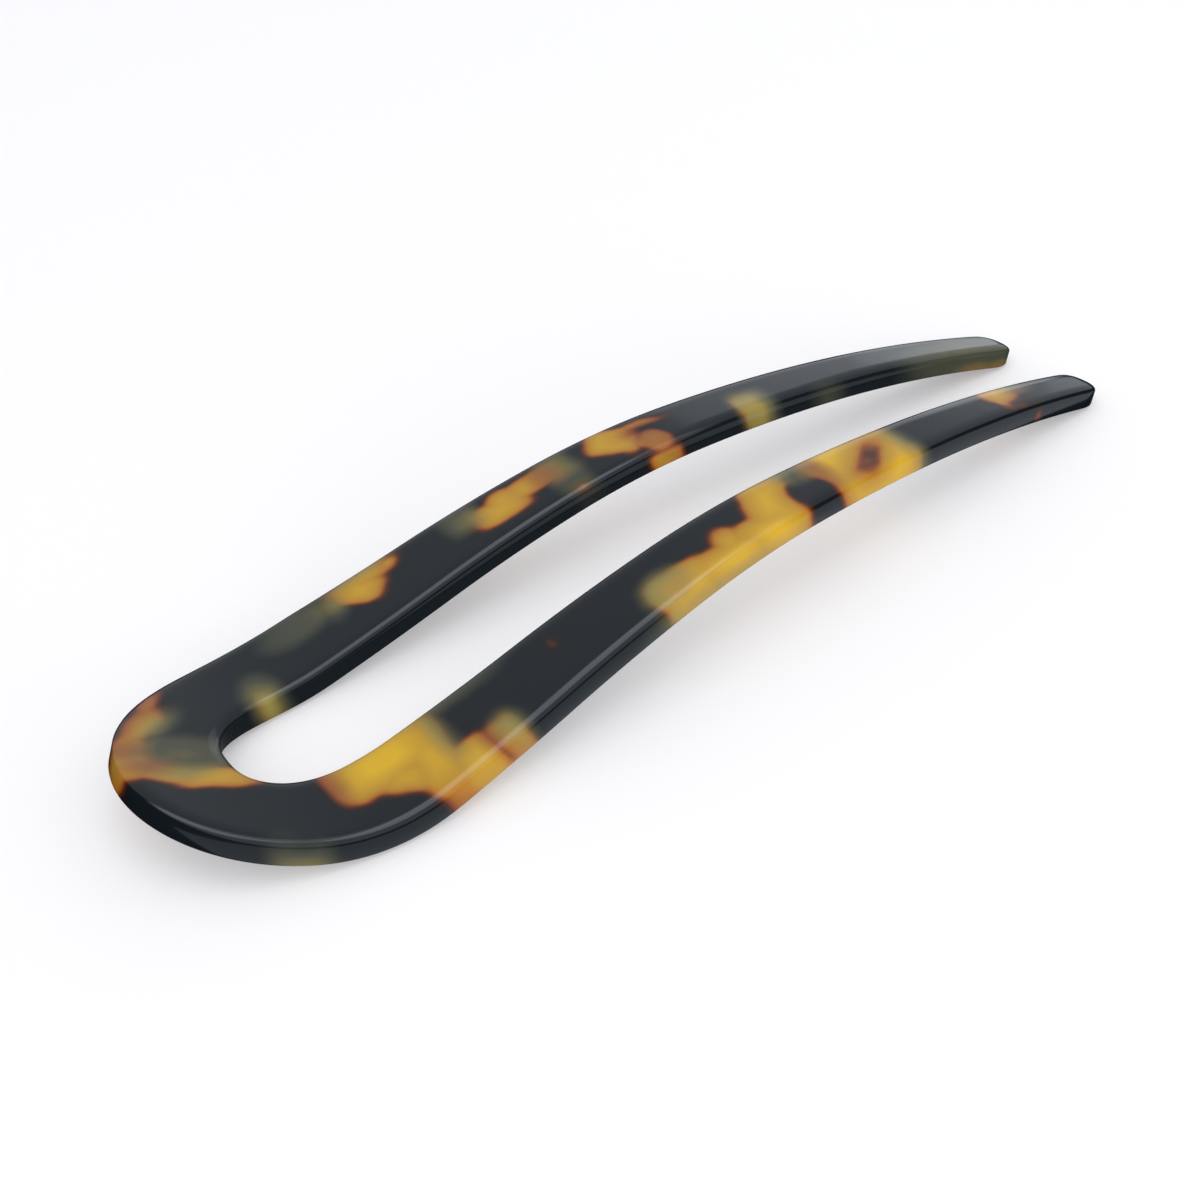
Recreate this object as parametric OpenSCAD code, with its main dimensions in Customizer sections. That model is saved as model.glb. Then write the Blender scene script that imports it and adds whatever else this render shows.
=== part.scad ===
// French hair pin: a flat pin with two legs, cut from one sheet of tortoiseshell
// acetate, bent into a gentle wave and polished all over.
//
// +X runs from the crown to the tips, +Y across the legs and +Z up. The pin lies
// on z = 0 as it would on a table, on its crown and on both tips, and the origin
// is below the middle of its box. All sizes are in millimetres and degrees.

/* [Sheet] */
// Length of the flat blank, from the crown's end to the tips
blank_len = 130; // [100:1:160]
// Thickness of the sheet
sheet_t = 3; // [2.4:0.1:4]
// How far in from the edge the polished rounding starts on each flat side
edge_w = 1.7; // [0.6:0.1:2]
// How far down the wall the polished rounding reaches
edge_h = 0.6; // [0.3:0.1:1.2]

/* [Crown] */
// Width of the pin where its round crown runs into the legs
crown_w = 36.5; // [32:0.5:46]
// Length of the round crown
crown_len = 28; // [20:0.5:34]
// Width of the band between the crown's end and the slot
crown_band = 11; // [7:0.5:14]

/* [Slot between the legs] */
// Width of the slot at the crown
slot_w = 14; // [10:0.5:18]
// Width of the slot at the tips
slot_tip_w = 8.5; // [5:0.5:12]
// Length of the slot's round end
slot_end_len = 10.5; // [8:0.5:14]
// Squareness of the slot's round end, where 2 is an ellipse
slot_end_power = 2.5; // [2:0.1:3]

/* [Tips] */
// Width over both tips, between their outer edges
tips_w = 20; // [17:0.5:26]
// Length of each tip's round nose
nose_len = 3; // [2.5:0.1:6]
// Squareness of each nose, where 2 is an ellipse
nose_power = 2.5; // [2:0.1:3]
// How much each tip is rounded off underneath
nose_lift = 0.8; // [0:0.1:1]

/* [Wave] */
// How far the crown's end turns up
crown_angle = 27.5; // [0:0.5:35]
// How steeply the legs rise from the crown
leg_angle = 13.8; // [5:0.1:20]
// How steeply the legs run down into the tips
tip_angle = 17.5; // [5:0.5:30]

/* [Hidden] */

// The wave, one row for each place where the bend changes:
// share of the blank's length, slope of the sheet there in degrees
WAVE = [
    [0.00, -crown_angle],
    [0.10, -0.55 * crown_angle],
    [0.20,  0.80 * leg_angle],
    [0.32,  1.00 * leg_angle],
    [0.46,  0.62 * leg_angle],
    [0.60, -0.11 * tip_angle],
    [0.74, -0.40 * tip_angle],
    [0.87, -0.69 * tip_angle],
    [1.00, -1.00 * tip_angle]
];

// How far each edge of a leg bows out from a straight taper, where 0 is straight
outer_bow = 0.1;
slot_bow = 1;

// Length of the rounding underneath each tip
nose_lift_len = 4;

// Facets: stations along each half of the pin, and steps round each polished edge
crown_steps = 16;
leg_steps = 36;
nose_steps = 7;
edge_steps = 4;
path_steps = 260;
// The nose's last station stops a little short of its end, which a flat facet closes
nose_end_angle = 80;

// Each polished edge keeps clear of the leg's middle line and of the sheet's middle
leg_tip_w = (tips_w - slot_tip_w) / 2;
round_w = min(edge_w, 0.32 * leg_tip_w, 0.6 * nose_len);
round_h = min(edge_h, 0.45 * (sheet_t - nose_lift));

slot_end = crown_band + slot_end_len;
nose_start = blank_len - nose_len;
half_steps = crown_steps + leg_steps + nose_steps;

// Outline of the flat blank, in the blank's own length u and width y

// A width that runs from w0 at u0 to w1 at the tips
function tapered(u, u0, w0, w1, bow) =
    let (share = (u - u0) / (blank_len - u0))
    w0 + (w1 - w0) * share * (1 - bow * (1 - share));
function outer_y(u) = tapered(u, crown_len, crown_w, tips_w, outer_bow) / 2;
function inner_y(u) = tapered(u, slot_end, slot_w, slot_tip_w, slot_bow) / 2;

// The crown's outer edge is the legs' taper rounded off by an ellipse
function crown_point(turn) =
    let (u = crown_len * (1 - cos(turn)))
    [u, outer_y(u) * sin(turn)];
// The slot's end is half a squarer ellipse
function slot_end_point(turn) = [
    crown_band + slot_end_len * (1 - pow(cos(turn), 2 / slot_end_power)),
    slot_w / 2 * pow(sin(turn), 2 / slot_end_power)
];
// A leg's two edges close in on its middle line along the nose
function leg_point(u, side, closing) =
    let (middle = (outer_y(u) + inner_y(u)) / 2, half = (outer_y(u) - inner_y(u)) / 2)
    [u, middle + side * half * closing];

// Station i of half the pin, from the crown's middle to the nose: its outer and inner point
function station(i) =
    i <= crown_steps
    ? let (turn = 90 * i / crown_steps) [crown_point(turn), slot_end_point(turn)]
    : i <= crown_steps + leg_steps
    ? let (share = (i - crown_steps) / leg_steps)
      [leg_point(crown_len + share * (nose_start - crown_len), 1, 1),
       leg_point(slot_end + share * (nose_start - slot_end), -1, 1)]
    : let (turn = nose_end_angle * (i - crown_steps - leg_steps) / nose_steps,
           u = nose_start + nose_len * pow(sin(turn), 2 / nose_power),
           closing = pow(cos(turn), 2 / nose_power))
      [leg_point(u, 1, closing), leg_point(u, -1, closing)];

half_pin = [for (i = [0 : half_steps]) station(i)];

// One closed outline: along the outer edge from tip to tip, and back along the slot
last = 2 * half_steps;
function chain_point(i, edge) =
    let (p = half_pin[abs(i - half_steps)][edge]) i < half_steps ? [p[0], -p[1]] : p;
outline = concat(
    [for (i = [0 : last]) chain_point(i, 0)],
    [for (i = [last : -1 : 0]) chain_point(i, 1)]
);

// Direction out of the sheet's edge at point j of the outline
function outward(j) =
    let (n = len(outline), run = outline[(j + 1) % n] - outline[(j + n - 1) % n])
    [-run[1], run[0]] / norm(run);

// The bent sheet

function slope(u) = lookup(u / blank_len, WAVE);
// The sheet's middle surface seen from the side: blank length, distance run, height
step = blank_len / path_steps;
side_path = [
    for (i = 0, x = 0, z = 0;
         i <= path_steps;
         x = x + step * cos(slope((i + 0.5) * step)),
         z = z + step * sin(slope((i + 0.5) * step)),
         i = i + 1)
    [i * step, x, z]
];
path_x = [for (p = side_path) [p[0], p[1]]];
path_z = [for (p = side_path) [p[0], p[2]]];

// A point of the blank, h above its middle surface, carried to its place on the bent sheet
function bent(p, h) = [
    lookup(p[0], path_x) - h * sin(slope(p[0])),
    p[1],
    lookup(p[0], path_z) + h * cos(slope(p[0]))
];

// How much is rounded off underneath at length u, close to the tips
function under(u) =
    let (share = max(0, 1 - (blank_len - u) / nose_lift_len))
    nose_lift * (1 - sqrt(1 - share * share));

// Round the polished edge at point j, from angle a0 to a1, where 90 is the top face
function edge_arc(j, a0, a1) =
    let (out = outward(j), top = a0 + a1 > 0)
    [for (k = [0 : edge_steps])
        let (a = a0 + (a1 - a0) * k / edge_steps,
             p = outline[j] - round_w * (1 - cos(a)) * out,
             start = top ? sheet_t / 2 - round_h : round_h - sheet_t / 2 + under(p[0]))
        bent(p, start + round_h * sin(a))];

// One ring of the skin round the leg at station i
function ring(i) =
    let (outer = i, inner = len(outline) - 1 - i)
    concat(edge_arc(outer, 90, 0), edge_arc(outer, 0, -90),
           edge_arc(inner, -90, 0), edge_arc(inner, 0, 90));

ring_len = 4 * (edge_steps + 1);
skin = [for (i = [0 : last]) each ring(i)];

// Tips the pin about the Y axis until its crown and its tips are equally low
function tipped(p, angle) = [
    p[0] * cos(angle) + p[2] * sin(angle),
    p[1],
    p[2] * cos(angle) - p[0] * sin(angle)
];
crown_side = [for (p = skin) if (p[0] < blank_len / 2) p];
tips_side = [for (p = skin) if (p[0] >= blank_len / 2) p];
function lowest(points, angle) =
    let (turned = [for (p = points) tipped(p, angle)], low = min([for (p = turned) p[2]]))
    [for (p = turned) if (p[2] == low) p][0];
function settle(angle, rounds) =
    rounds == 0 ? angle
    : let (a = lowest(crown_side, angle), b = lowest(tips_side, angle))
      settle(angle + atan2(b[2] - a[2], b[0] - a[0]), rounds - 1);

laid = let (angle = settle(0, 4)) [for (p = skin) tipped(p, angle)];
laid_x = [for (p = laid) p[0]];
seat = [-(min(laid_x) + max(laid_x)) / 2, 0, -min([for (p = laid) p[2]])];

// Faces, as triangles: the skin between the rings, and one narrow strip over each nose
function quad(a, b, c, d) = [[a, b, c], [a, c, d]];
skin_faces = [
    for (i = [0 : last - 1], k = [0 : ring_len - 1])
        let (m = (k + 1) % ring_len, r = i * ring_len)
        each quad(r + m, r + ring_len + m, r + ring_len + k, r + k)
];
function nose_faces(r, flip) = [
    for (k = [0 : ring_len / 2 - 2])
        let (a = r + k, b = r + k + 1, c = r + ring_len - 2 - k, d = r + ring_len - 1 - k)
        each (flip ? quad(a, b, c, d) : quad(d, c, b, a))
];

module hair_pin() {
    color("#2b2f2c")
    translate(seat)
    polyhedron(
        points = laid,
        faces = concat(skin_faces, nose_faces(0, false), nose_faces(last * ring_len, true))
    );
}

hair_pin();
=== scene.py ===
# A flat french hair pin of tortoiseshell acetate, dressed for its render. The pin is
# made here as it is made in the workshop: a flat blank is cut from the sheet, its edges
# are rounded, and the blank is then bent into its wave. Lengths are in millimetres until
# the pin is bent, and in metres from there on.
from math import atan2, cos, pi, radians, sin
import bmesh
import bpy
from mathutils import Matrix, Vector


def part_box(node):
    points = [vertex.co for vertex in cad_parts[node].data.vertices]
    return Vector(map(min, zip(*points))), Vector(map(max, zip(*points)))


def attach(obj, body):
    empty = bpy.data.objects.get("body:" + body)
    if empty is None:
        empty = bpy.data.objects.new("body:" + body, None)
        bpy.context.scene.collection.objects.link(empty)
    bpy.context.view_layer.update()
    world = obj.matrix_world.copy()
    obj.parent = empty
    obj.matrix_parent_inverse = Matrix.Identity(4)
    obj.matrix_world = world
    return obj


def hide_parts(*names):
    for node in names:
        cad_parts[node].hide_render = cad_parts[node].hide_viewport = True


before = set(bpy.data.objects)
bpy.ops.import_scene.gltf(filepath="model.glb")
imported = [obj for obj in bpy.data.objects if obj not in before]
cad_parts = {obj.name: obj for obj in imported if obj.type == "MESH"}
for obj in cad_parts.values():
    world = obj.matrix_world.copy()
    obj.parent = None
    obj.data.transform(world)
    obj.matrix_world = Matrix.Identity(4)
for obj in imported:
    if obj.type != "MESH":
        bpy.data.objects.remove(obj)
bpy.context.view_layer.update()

# One millimetre, in metres
MM = 0.001

# The flat blank, with the same sizes as the solid that it stands for
BLANK_LEN = 130.0
SHEET_T = 3.0
EDGE_W = 1.7
EDGE_H = 0.6
CROWN_W = 36.5
CROWN_LEN = 28.0
CROWN_BAND = 11.0
SLOT_W = 14.0
SLOT_TIP_W = 8.5
SLOT_END_LEN = 10.5
SLOT_END_POWER = 2.5
TIPS_W = 20.0
NOSE_LEN = 3.0
NOSE_POWER = 2.5
NOSE_LIFT = 0.8
NOSE_LIFT_LEN = 4.0
OUTER_BOW = 0.1
SLOT_BOW = 1.0

# The wave: share of the blank's length, slope of the sheet there in degrees
CROWN_ANGLE = 27.5
LEG_ANGLE = 13.8
TIP_ANGLE = 17.5
WAVE = [
    (0.00, -CROWN_ANGLE),
    (0.10, -0.55 * CROWN_ANGLE),
    (0.20, 0.80 * LEG_ANGLE),
    (0.32, LEG_ANGLE),
    (0.46, 0.62 * LEG_ANGLE),
    (0.60, -0.11 * TIP_ANGLE),
    (0.74, -0.40 * TIP_ANGLE),
    (0.87, -0.69 * TIP_ANGLE),
    (1.00, -TIP_ANGLE),
]

# Stations along half of the pin, faces across a flat side, and faces round each edge
CROWN_STEPS = 48
LEG_STEPS = 190
NOSE_STEPS = 16
ROWS_ACROSS = 12
EDGE_STEPS = 6
# Steps along the side view of the bent sheet
PATH_STEPS = 520
# Points closer than this become one
MERGE = 0.001
# Rounds of tipping that bring crown and tips equally low
SETTLE_ROUNDS = 4

SLOT_END = CROWN_BAND + SLOT_END_LEN
NOSE_START = BLANK_LEN - NOSE_LEN
STATIONS = CROWN_STEPS + LEG_STEPS + NOSE_STEPS


def tapered(u, start, width, tip_width, bow):
    """A width that runs from its size at start to tip_width at the tips."""
    share = (u - start) / (BLANK_LEN - start)
    return width + (tip_width - width) * share * (1 - bow * (1 - share))


def outer_y(u):
    """Half the width between the legs' outer edges, at length u of the blank."""
    return tapered(u, CROWN_LEN, CROWN_W, TIPS_W, OUTER_BOW) / 2


def inner_y(u):
    """Half the width of the slot, at length u of the blank."""
    return tapered(u, SLOT_END, SLOT_W, SLOT_TIP_W, SLOT_BOW) / 2


def outline_point(i, outer):
    """Where station i lies on the blank's outer edge, or on the slot's edge."""
    if i <= CROWN_STEPS:
        turn = pi / 2 * i / CROWN_STEPS
        if outer:
            u = CROWN_LEN * (1 - cos(turn))
            return u, outer_y(u) * sin(turn)
        bend = 2 / SLOT_END_POWER
        u = CROWN_BAND + SLOT_END_LEN * (1 - max(cos(turn), 0) ** bend)
        return u, SLOT_W / 2 * sin(turn) ** bend
    closing = 1
    if i <= CROWN_STEPS + LEG_STEPS:
        share = (i - CROWN_STEPS) / LEG_STEPS
        start = CROWN_LEN if outer else SLOT_END
        u = start + share * (NOSE_START - start)
    else:
        turn = pi / 2 * (i - CROWN_STEPS - LEG_STEPS) / NOSE_STEPS
        u = NOSE_START + NOSE_LEN * sin(turn) ** (2 / NOSE_POWER)
        closing = max(cos(turn), 0) ** (2 / NOSE_POWER)
    middle = (outer_y(u) + inner_y(u)) / 2
    half = (outer_y(u) - inner_y(u)) / 2
    return u, middle + (half if outer else -half) * closing


def slope(u):
    """Slope of the sheet in radians, at length u of the blank."""
    share = min(max(u / BLANK_LEN, 0), 1)
    for (s0, a0), (s1, a1) in zip(WAVE, WAVE[1:]):
        if share <= s1:
            return radians(a0 + (a1 - a0) * (share - s0) / (s1 - s0))


def side_path():
    """The sheet's middle seen from the side: distance run and height at equal steps."""
    step = BLANK_LEN / PATH_STEPS
    path = [(0.0, 0.0)]
    for i in range(PATH_STEPS):
        x, z = path[-1]
        a = slope((i + 0.5) * step)
        path.append((x + step * cos(a), z + step * sin(a)))
    return path


def bent(path, place):
    """Carries a point of the flat blank to its place on the bent sheet."""
    at = min(max(place.x / BLANK_LEN, 0), 1) * PATH_STEPS
    i = min(int(at), PATH_STEPS - 1)
    (x0, z0), (x1, z1) = path[i], path[i + 1]
    a = slope(place.x)
    x = x0 + (x1 - x0) * (at - i) - place.z * sin(a)
    z = z0 + (z1 - z0) * (at - i) + place.z * cos(a)
    return Vector((x, place.y, z))


def cut_blank(bm, thickness):
    """Saws the flat pin from a sheet of the given thickness: half of it, then its mirror image."""
    bmesh.ops.create_grid(bm, x_segments=STATIONS, y_segments=1, size=0.5)
    for v in bm.verts:
        u, y = outline_point(round((v.co.x + 0.5) * STATIONS), v.co.y > 0)
        v.co = Vector((u, y, 0))
    bmesh.ops.mirror(
        bm, geom=bm.verts[:] + bm.edges[:] + bm.faces[:], axis="Y", merge_dist=MERGE
    )
    bmesh.ops.remove_doubles(bm, verts=bm.verts, dist=MERGE)
    bmesh.ops.recalc_face_normals(bm, faces=bm.faces)
    thick = bmesh.ops.extrude_face_region(bm, geom=bm.faces[:])
    raised = [v for v in thick["geom"] if isinstance(v, bmesh.types.BMVert)]
    bmesh.ops.translate(bm, verts=raised, vec=(0, 0, thickness))
    bmesh.ops.translate(bm, verts=bm.verts, vec=(0, 0, -thickness / 2))
    bmesh.ops.recalc_face_normals(bm, faces=bm.faces)


def lies_flat(face):
    """Whether a face belongs to one of the blank's two flat sides."""
    return abs(face.normal.z) > 0.9999


def round_edges(bm):
    """Rounds every sharp edge as tumbling does, then divides the flat sides so that they can bend."""
    sharp = [e for e in bm.edges if len({lies_flat(f) for f in e.link_faces}) == 2]
    bmesh.ops.bevel(
        bm,
        geom=sharp,
        offset=EDGE_W,
        offset_type="OFFSET",
        segments=EDGE_STEPS,
        profile=0.5,
        affect="EDGES",
        material=-1,
        clamp_overlap=False,
    )
    bm.normal_update()
    across = [e for e in bm.edges if all(lies_flat(f) for f in e.link_faces)]
    bmesh.ops.subdivide_edges(bm, edges=across, cuts=ROWS_ACROSS - 1, use_grid_fill=True)


def lifted(u):
    """How much the underside is rounded off at length u, close to the tips."""
    share = max(0, 1 - (BLANK_LEN - u) / NOSE_LIFT_LEN)
    return NOSE_LIFT * (1 - (1 - min(share, 1) ** 2) ** 0.5)


def settle(bm):
    """Tips the pin about the Y axis until its crown and its tips are equally low."""
    middle = BLANK_LEN / 2 * MM
    for _ in range(SETTLE_ROUNDS):
        crown = min((v.co for v in bm.verts if v.co.x < middle), key=lambda place: place.z)
        tips = min((v.co for v in bm.verts if v.co.x >= middle), key=lambda place: place.z)
        angle = atan2(tips.z - crown.z, tips.x - crown.x)
        bmesh.ops.rotate(bm, verts=bm.verts, matrix=Matrix.Rotation(angle, 3, "Y"))


def make_pin(name, box):
    """The whole pin, bent and set down where the solid that it stands for lies."""
    bm = bmesh.new()
    # The rounding is wider than it is deep, so the blank starts thicker by as much and is
    # brought down to the sheet's thickness once its edges are round
    deeper = EDGE_W / EDGE_H
    cut_blank(bm, SHEET_T * deeper)
    round_edges(bm)
    bmesh.ops.scale(bm, verts=bm.verts, vec=(1, 1, 1 / deeper))
    # Each point keeps its place in the flat sheet, in metres, for the sheet's own pattern
    in_sheet = bm.verts.layers.float_vector.new("sheet")
    path = side_path()
    for v in bm.verts:
        v.co.z += lifted(v.co.x) * max(0, -2 * v.co.z / SHEET_T)
        v[in_sheet] = v.co * MM
        v.co = bent(path, v.co) * MM
    settle(bm)
    low, high = box
    xs = [v.co.x for v in bm.verts]
    zs = [v.co.z for v in bm.verts]
    seat = Vector(((low.x + high.x - min(xs) - max(xs)) / 2, 0, low.z - min(zs)))
    bmesh.ops.translate(bm, verts=bm.verts, vec=seat)
    bmesh.ops.recalc_face_normals(bm, faces=bm.faces)
    for face in bm.faces:
        face.smooth = True
    mesh = bpy.data.meshes.new(name)
    bm.to_mesh(mesh)
    bm.free()
    pin = bpy.data.objects.new(name, mesh)
    bpy.context.scene.collection.objects.link(pin)
    return pin


def linear(colour):
    """An sRGB hex colour as the linear colour that shaders take."""
    parts = [int(colour[i : i + 2], 16) / 255 for i in (1, 3, 5)]
    return [c / 12.92 if c <= 0.04045 else ((c + 0.055) / 1.055) ** 2.4 for c in parts] + [1]


def add(tree, kind, inputs=(), **settings):
    """Adds a node with its settings, and with a value, a socket or another node on each input named."""
    node = tree.nodes.new("ShaderNode" + kind)
    for name, value in settings.items():
        setattr(node, name, value)
    for name, value in dict(inputs).items():
        named = [s for s in node.inputs if s.enabled and s.name == name]
        socket = node.inputs[name] if isinstance(name, int) else named[0]
        if isinstance(value, bpy.types.Node):
            value = next(s for s in value.outputs if s.enabled)
        if isinstance(value, bpy.types.NodeSocket):
            tree.links.new(value, socket)
        else:
            socket.default_value = value
    return node


def set_stops(ramp, stops):
    """Gives a colour ramp its stops, each a place from 0 to 1 and a colour."""
    while len(ramp.elements) < len(stops):
        ramp.elements.new(0.5)
    for element, (place, colour) in zip(ramp.elements, stops):
        element.position = place
        element.color = linear(colour)


# The sheet is pressed from amber and near-black acetate. These tables say where the lumps
# lie in this pin's piece of it, in millimetres. The columns are a lump's form, its place
# along the blank from the crown's end, across it and above its middle, its half sizes the
# same three ways, and its turn in degrees. The front leg lies at negative places across.

# Amber, with a red-brown rim where it ends in the dark
AMBER = [
    # A sweep across the crown, and a tongue along its edge
    ("square", 8.8, -2.9, 0, 4.4, 1.8, 8, -14),
    ("square", 4.2, -0.9, 0, 3.6, 1.6, 8, -26),
    ("round", 1.2, 1.6, 0, 2.4, 3.0, 8, 0),
    ("round", 2.4, 4.6, 0, 2.6, 1.6, 8, 60),
    ("round", 5.0, 7.8, 0, 4.2, 1.6, 8, 44),
    ("round", 7.2, 11.4, 0, 2.6, 0.8, 8, 50),
    # The back leg, from the slot's end to its middle
    ("round", 18.6, 7.4, 0, 1.2, 1.6, 4, 0),
    ("square", 35.8, 15.8, 0, 4.2, 1.8, 8, 0),
    ("square", 35.2, 14.2, 0, 3.0, 2.2, 8, -40),
    ("round", 39.4, 15.4, 0, 1.3, 1.0, 8, 0),
    ("square", 53.2, 11.6, 0, 3.8, 2.2, 8, -6),
    ("round", 54.0, 12.8, 0, 2.0, 2.2, 8, 0),
    ("square", 57.8, 12.6, 0, 4.2, 1.8, 8, 0),
    ("round", 61.5, 7.2, 2.1, 0.9, 0.5, 0.8, 0),
    # The front leg, from the crown to its tip
    ("square", 23.9, -9.2, 0, 6.7, 4.6, 8, 0),
    ("square", 24.8, -13.4, 0, 3.4, 2.2, 8, -35),
    ("square", 27.8, -13.4, 0, 2.7, 5.8, 8, 0),
    ("square", 30.8, -16.4, 0, 2.8, 2.8, 8, 0),
    ("square", 35.0, -16.4, 0, 1.6, 2.4, 8, 0),
    ("round", 33.2, -16.8, -1.2, 2.5, 1.6, 1.4, 0),
    ("square", 59.3, -15.0, 0, 4.3, 3.6, 8, 0),
    ("square", 65.5, -15.8, 0, 6.4, 3.6, 8, 0),
    ("round", 66.6, -13.0, 0, 2.0, 2.8, 8, 0),
    ("square", 73.9, -10.4, 0, 3.2, 6.4, 8, -21),
    ("square", 71.4, -14.6, 0, 5.0, 3.4, 8, 0),
    ("square", 87.4, -9.6, 0, 7.0, 6.8, 8, 0),
    ("round", 113.4, -6.5, 0, 3.6, 2.6, 8, 30),
    ("round", 111.9, -8.4, 0, 1.0, 1.8, 8, -10),
    ("round", 112.8, -10.6, 2.6, 2.4, 1.0, 1.0, 0),
    # Small spots and thin traces here and there
    ("round", 44.9, -10.4, 2.6, 0.6, 1.0, 0.8, 0),
    ("round", 116.0, -9.7, -0.4, 1.4, 1.6, 1.6, 0),
    ("round", 120.0, 5.4, 3.0, 9.0, 3.0, 1.2, 0),
    ("round", 6.0, 2.0, 3.2, 5.0, 3.0, 1.3, -10),
    ("round", 11.2, -15.6, -2.4, 2.8, 1.4, 1.4, -30),
    # The back leg, from its middle to its tip
    ("square", 68.6, 11.9, 0, 3.2, 2.8, 8, -32),
    ("round", 73.0, 12.6, 0, 3.0, 0.7, 8, -10),
    ("round", 70.1, 10.2, 0, 1.5, 2.6, 8, -20),
    ("round", 72.6, 8.4, 0, 1.8, 2.4, 8, 0),
    ("round", 71.3, 9.0, 0, 1.0, 1.2, 8, 0),
    ("square", 72.3, 6.2, -0.6, 2.3, 1.7, 1.8, 0),
    ("square", 85.9, 7.4, 0, 1.9, 2.6, 8, -10),
    ("round", 124.6, 5.2, -1.2, 4.6, 1.5, 0.8, 0),
]

# Dark lumps that lie in the amber
DARK = [
    ("round", 78.7, -11.9, 0, 2.6, 2.8, 8, 0),
    ("square", 88.2, -10.8, 2.6, 2.7, 1.0, 1.15, 42),
    ("square", 73.2, 11.2, 0, 1.3, 0.5, 8, -16),
]

# Amber deep under a thin dark veil, which shows as olive with soft edges
OLIVE = [
    ("round", 6.2, 1.6, 0, 5.2, 3.6, 8, -14),
    ("round", 18.8, 8.6, 0, 2.1, 2.8, 4, 0),
    ("round", 6.6, 7.4, 0, 2.6, 1.2, 8, 42),
    ("round", 26.8, 15.2, 0, 4.2, 2.4, 8, 0),
    ("round", 31.4, 14.6, 0, 1.2, 1.8, 8, 0),
    ("round", 36.0, 17.4, 0, 3.4, 1.2, 8, 0),
    ("square", 48.9, 14.2, 0, 1.9, 2.2, 8, 0),
    ("square", 61.6, 11.8, 0, 1.8, 3.6, 8, 0),
    ("square", 11.2, -15.6, -1.2, 2.4, 1.8, 1.9, -30),
    ("square", 30.1, -10.2, 0, 0.7, 3.4, 8, 0),
    ("round", 34.4, -7.2, 0, 4.2, 1.3, 8, 0),
    ("round", 35.6, -15.8, 0, 1.4, 1.8, 8, 0),
    ("round", 57.8, -13.6, 0, 3.0, 2.6, 8, 0),
    ("round", 59.0, -15.8, -0.8, 4.6, 1.2, 1.4, 0),
    ("round", 64.0, -15.6, -1.0, 8.0, 1.2, 1.4, 0),
    ("round", 79.4, -7.6, 0, 2.6, 2.2, 8, 0),
    ("square", 94.0, -9.4, 0, 0.9, 4.2, 8, 0),
    ("square", 86.7, 7.4, 0, 2.4, 3.0, 8, -10),
    ("round", 97.0, 6.0, -0.6, 1.6, 1.0, 1.4, 0),
    ("square", 120.4, 5.6, 0, 9.6, 3.2, 8, 0),
    ("round", 116.8, -6.2, 0, 2.2, 1.2, 8, 0),
]

# Rust, where the dye of a dark lump has bled into the amber
RUST = [
    ("round", 3.8, 9.2, 0, 4.6, 1.6, 8, 50),
    ("round", 6.8, 11.6, 0, 3.4, 1.4, 8, 48),
    ("round", 2.0, 4.0, 0, 2.4, 2.0, 8, 60),
    ("round", 2.4, 0.8, 0, 3.0, 1.8, 8, -20),
    ("round", 17.4, -9.6, 0, 2.0, 3.2, 8, 0),
    ("round", 33.6, -15.8, 0, 1.0, 2.0, 8, 8),
    ("round", 44.9, -10.4, 1.4, 1.6, 1.6, 1.6, 0),
    ("round", 59.6, 12.4, 0, 2.0, 2.4, 8, 0),
    ("round", 73.2, 9.4, 0, 2.8, 3.6, 8, 0),
    ("round", 81.8, -9.6, 0, 1.4, 3.6, 8, 0),
    ("round", 88.2, -10.8, 0, 1.6, 0.6, 8, 42),
    ("round", 116.4, -7.8, 0, 2.4, 1.0, 8, 20),
    ("round", 112.8, -10.6, 0, 2.0, 0.9, 8, 0),
    ("round", 124.8, 5.0, -1.2, 4.0, 1.4, 0.7, 0),
]

# How far neighbouring lumps melt into each other, and how far the dark melts into the amber
MELT = 0.8
DARK_MELT = 0.4

# How far the lumps lean along and across the sheet for each millimetre up
LEAN = (0.25, 0.12, 0)
# About what the lean adds up to at the top face, where the tables' places hold
TOP_LEAN = (0.35, 0.2)
# The most that the lumps' outlines wander from one side to the other
SWAY = 1.0

# Colours from the dark, over a red-brown rim, into ever deeper amber
RIM_COLOURS = [
    (0.00, "#10161a"),
    (0.09, "#1b1413"),
    (0.155, "#43200f"),
    (0.20, "#7c3e15"),
    (0.26, "#a2691e"),
    (0.35, "#a97e25"),
    (0.52, "#b48b25"),
    (0.86, "#c9a022"),
]

# Colours under the veil, from hardly any amber to deep amber
VEIL_COLOURS = [
    (0.00, "#3a3d31"),
    (0.36, "#444435"),
    (0.56, "#5f5835"),
    (0.76, "#857840"),
    (1.00, "#9d7f3c"),
]

# The dark lumps' dye in amber
BLED_DYE = "#7e4428"


def lumps(tree, place, rows):
    """How deep a point lies inside the nearest lump of a table, in millimetres, and below 0 outside."""
    depth = None
    for form, along, across, above, half_long, half_wide, half_deep, turn in rows:
        inside = add(
            tree,
            "Mapping",
            {
                "Vector": place,
                "Location": (along, across, above),
                "Rotation": (0, 0, radians(turn)),
                "Scale": (half_long, half_wide, half_deep),
            },
            vector_type="TEXTURE",
        )
        if form == "square":
            # The length of the squared parts, whose root grows like that of a rounded square
            squared = add(tree, "VectorMath", {0: inside, 1: inside}, operation="MULTIPLY")
            corner = add(tree, "VectorMath", {0: squared}, operation="LENGTH")
            reach = add(tree, "Math", {0: corner}, operation="SQRT")
        else:
            reach = add(tree, "VectorMath", {0: inside}, operation="LENGTH")
        thin = min(half_long, half_wide)
        own = add(tree, "Math", {0: reach, 1: -thin, 2: thin}, operation="MULTIPLY_ADD")
        if depth is None:
            depth = own
        else:
            depth = add(tree, "Math", {0: depth, 1: own, 2: MELT}, operation="SMOOTH_MAX")
    return depth


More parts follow.
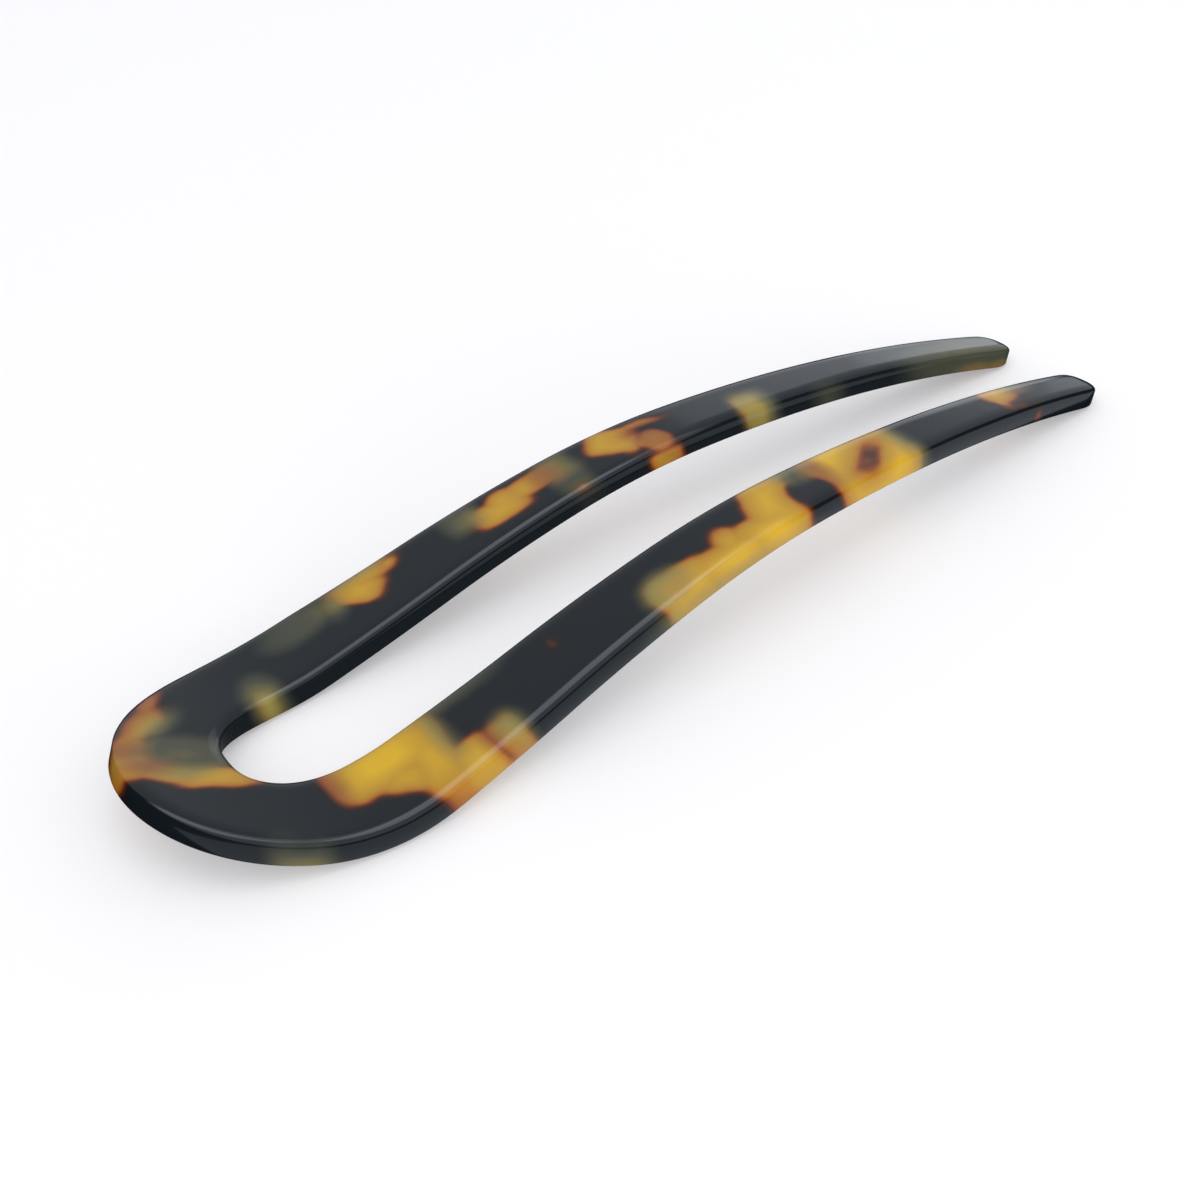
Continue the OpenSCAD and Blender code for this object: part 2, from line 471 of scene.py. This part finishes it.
def sheet_place(tree):
    """A point's place in the flat sheet, in millimetres: its true one, and its one in the tables.

    The two differ because the lumps lean a little through the sheet, and their outlines
    wander by a third of a millimetre over waves of about 4 mm.
    """
    sheet = add(tree, "Attribute", attribute_name="sheet", attribute_type="GEOMETRY")
    flat = add(
        tree, "VectorMath", {0: sheet.outputs["Vector"], 1: (1000, 1000, 1000)}, operation="MULTIPLY"
    )
    above = add(tree, "SeparateXYZ", {0: flat}).outputs["Z"]
    leaning = add(tree, "VectorMath", {0: above, 1: LEAN, 2: flat}, operation="MULTIPLY_ADD")
    wander = add(
        tree, "TexNoise", {"Vector": flat, "Scale": 0.25, "Detail": 2.0, "Roughness": 0.45}
    )
    # The noise lies round the middle of its range, so half the sway is taken off again
    back = (-SWAY / 2 - TOP_LEAN[0], -SWAY / 2 - TOP_LEAN[1], -SWAY / 2)
    based = add(tree, "VectorMath", {0: leaning, 1: back}, operation="ADD")
    place = add(
        tree,
        "VectorMath",
        {0: wander.outputs["Color"], 1: (SWAY, SWAY, SWAY), 2: based},
        operation="MULTIPLY_ADD",
    )
    return flat, place


def sheet_colour(tree, place):
    """The sheet's colour at a place in the tables."""
    # The last two tables wait for the amber, which moves their place by nothing that shows.
    # All rows worked out at once would be more than the shader can hold.
    amber = lumps(tree, place, AMBER)
    nearly = (1e-7, 1e-7, 1e-7)
    later = add(tree, "VectorMath", {0: amber, 1: nearly, 2: place}, operation="MULTIPLY_ADD")
    dark = lumps(tree, place, DARK)
    veil = lumps(tree, later, OLIVE)
    bleed = lumps(tree, later, RUST)
    clear = add(tree, "Math", {0: dark, 1: -1.0}, operation="MULTIPLY")
    depth = add(tree, "Math", {0: amber, 1: clear, 2: DARK_MELT}, operation="SMOOTH_MIN")

    # Where a dark lump meets the amber steeply, its rim shows red-brown
    steep = add(tree, "MapRange", {"Value": depth, "From Min": -0.8, "From Max": 4.0})
    rimmed = add(tree, "ValToRGB", {0: steep})
    set_stops(rimmed.color_ramp, RIM_COLOURS)

    # Where a dark lump thins out over the amber, the amber shows through as olive
    shallow = add(tree, "MapRange", {"Value": depth, "From Min": -3.0, "From Max": 2.0})
    veiled = add(tree, "ValToRGB", {0: shallow})
    set_stops(veiled.color_ramp, VEIL_COLOURS)
    under_veil = add(
        tree,
        "MapRange",
        {"Value": veil, "From Min": -1.4, "From Max": 1.0},
        interpolation_type="SMOOTHSTEP",
    )
    unstained = add(
        tree, "Mix", {"Factor": under_veil, "A": rimmed, "B": veiled}, data_type="RGBA"
    )

    # The bled dye shows only where there is amber, bare or veiled, to carry it
    stain = add(
        tree,
        "MapRange",
        {"Value": bleed, "From Min": -1.2, "From Max": 1.4, "To Max": 0.7},
        interpolation_type="SMOOTHSTEP",
    )
    bare = add(
        tree,
        "MapRange",
        {"Value": depth, "From Min": -0.4, "From Max": 0.4},
        interpolation_type="SMOOTHSTEP",
    )
    carried = add(tree, "Math", {0: bare, 1: under_veil}, operation="MAXIMUM")
    stained = add(tree, "Math", {0: stain, 1: carried}, operation="MULTIPLY")
    return add(
        tree,
        "Mix",
        {"Factor": stained, "A": unstained, "B": linear(BLED_DYE)},
        data_type="RGBA",
    )


def tortoiseshell_acetate():
    """Cellulose acetate sheet, pressed from amber and near-black lumps, tumbled to a gloss."""
    material = bpy.data.materials.new("tortoiseshell_acetate_tumbled")
    material.use_nodes = True
    tree = material.node_tree
    tree.nodes.clear()
    flat, place = sheet_place(tree)
    colour = sheet_colour(tree, place)

    # Tumbling leaves the gloss a little uneven, in waves of 10 mm and haze of 2 mm
    waves = add(tree, "TexNoise", {"Vector": flat, "Scale": 0.1, "Detail": 1.0})
    haze = add(tree, "TexNoise", {"Vector": flat, "Scale": 0.5, "Detail": 3.0})
    gloss = add(tree, "MapRange", {"Value": haze, "To Min": 0.07, "To Max": 0.17})
    swell = add(tree, "Bump", {"Strength": 0.2, "Distance": 0.1 * MM, "Height": waves})
    shell = add(
        tree,
        "BsdfPrincipled",
        {
            "Base Color": colour,
            "Roughness": gloss,
            "IOR": 1.48,
            "Specular IOR Level": 0.4,
            "Normal": swell,
        },
    )
    add(tree, "OutputMaterial", {"Surface": shell})
    return material


def pale_floor():
    """A light table's top of frosted white acrylic, with a faint light below it."""
    material = bpy.data.materials.new("white_acrylic_frosted")
    material.use_nodes = True
    tree = material.node_tree
    tree.nodes.clear()
    acrylic = add(
        tree,
        "BsdfPrincipled",
        {
            "Base Color": linear("#cbcaca"),
            "Roughness": 0.8,
            "Specular IOR Level": 0.2,
            "Emission Color": linear("#fefcfd"),
            "Emission Strength": 0.31,
        },
    )
    add(tree, "OutputMaterial", {"Surface": acrylic})
    bm = bmesh.new()
    bmesh.ops.create_grid(bm, x_segments=1, y_segments=1, size=4.0)
    mesh = bpy.data.meshes.new("table_top")
    bm.to_mesh(mesh)
    bm.free()
    mesh.materials.append(material)
    floor = bpy.data.objects.new("table_top", mesh)
    floor.visible_glossy = False
    bpy.context.scene.collection.objects.link(floor)


# The studio's lights, in metres. The columns are a light's name, its place, the point that
# it faces, its shape, its width and height, its watts, and whether it lights the scene or
# only shows in the gloss. The cards are small and dim and stand behind the pin, and the
# glows lie just below the table top.
LIGHTS = [
    ("tent_left", (-1.1, -1.1, 1.2), (0, 0, 0), "RECTANGLE", (1.8, 1.6), 8.0, "lights"),
    ("tent_right", (1.1, -1.1, 1.2), (0, 0, 0), "RECTANGLE", (1.8, 1.6), 8.0, "lights"),
    ("tent_back_left", (-1.1, 1.1, 1.2), (0, 0, 0), "RECTANGLE", (1.8, 1.6), 2.0, "lights"),
    ("tent_back_right", (1.1, 1.1, 1.2), (0, 0, 0), "RECTANGLE", (1.8, 1.6), 2.0, "lights"),
    ("tent_roof", (0, 0, 1.5), (0, 0, 0), "RECTANGLE", (1.4, 1.4), 5.5, "lights"),
    ("tent_skirt", (0, -1.2, 0.25), (0, 0, 0), "RECTANGLE", (1.6, 0.4), 7.0, "lights"),
    ("back_panel", (0.7, 1.1, 0.9), (0, 0, 0), "RECTANGLE", (3.4, 2.2), 14.5, "shows"),
    ("softbox", (0, -0.3, 1.2), (0, -0.3, 0), "RECTANGLE", (1.6, 1.8), 9.0, "shows"),
    ("softbox_core", (0, 0.3, 1.19), (0, 0.3, 0), "ELLIPSE", (1.0, 0.5), 2.7, "shows"),
    ("card_back", (0.28, 0.3, 0.13), (0.28, 0, 0.13), "ELLIPSE", (0.18, 0.20), 0.04, "shows"),
    ("card_middle", (0.40, 0.3, 0.035), (0.40, 0, 0.035), "ELLIPSE", (0.20, 0.22), 0.08, "shows"),
    ("card_right", (0.60, 0.3, 0.03), (0.60, 0, 0.03), "ELLIPSE", (0.16, 0.16), 0.015, "shows"),
    ("table_glow", (0, -0.25, -0.004), (0, -0.25, 1), "RECTANGLE", (1.0, 0.47), 1.0, "shows"),
    ("slot_glow", (0, 0, -0.004), (0, 0, 1), "RECTANGLE", (0.14, 0.02), 0.001, "shows"),
]


def studio():
    """A white tent that lights the pin evenly, and a softbox, panel, cards and glows to shine in it."""
    world = bpy.data.worlds.new("studio")
    bpy.context.scene.world = world
    world.use_nodes = True
    air = world.node_tree.nodes["Background"]
    air.inputs["Color"].default_value = linear("#f6f9ff")
    air.inputs["Strength"].default_value = 0.7
    world.cycles_visibility.glossy = False
    for name, place, faces, shape, size, watts, use in LIGHTS:
        lamp = bpy.data.lights.new(name, "AREA")
        lamp.shape = shape
        lamp.size, lamp.size_y = size
        lamp.energy = watts
        lamp.color = linear("#fdfeff" if use == "lights" else "#f0f7ff")[:3]
        light = bpy.data.objects.new(name, lamp)
        light.location = place
        light.rotation_euler = (Vector(faces) - Vector(place)).to_track_quat("-Z", "Y").to_euler()
        light.visible_camera = False
        light.visible_glossy = use == "shows"
        light.visible_diffuse = use == "lights"
        bpy.context.scene.collection.objects.link(light)
    bpy.context.scene.view_settings.view_transform = "Standard"


def photo_camera():
    """The camera at the photograph's angle, from the outlines of the pin in it."""
    place = Vector((-0.0787, -0.1172, 0.1059))
    target = Vector((-0.0124, -0.0074, 0.0070))
    roll = radians(-7.07)
    lens = bpy.data.cameras.new("camera")
    lens.sensor_width = 36.0
    lens.lens = 45.9
    lens.clip_start = 0.005
    camera = bpy.data.objects.new("camera", lens)
    facing = (target - place).to_track_quat("-Z", "Y").to_matrix()
    turned = facing @ Matrix.Rotation(roll, 3, "Z")
    camera.location = place
    camera.rotation_euler = turned.to_euler()
    bpy.context.scene.collection.objects.link(camera)
    bpy.context.scene.camera = camera


photo_camera()
studio()
pale_floor()
pin = make_pin("acetate_pin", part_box("hair_pin"))
pin.data.materials.append(tortoiseshell_acetate())
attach(pin, "root")
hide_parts("hair_pin")
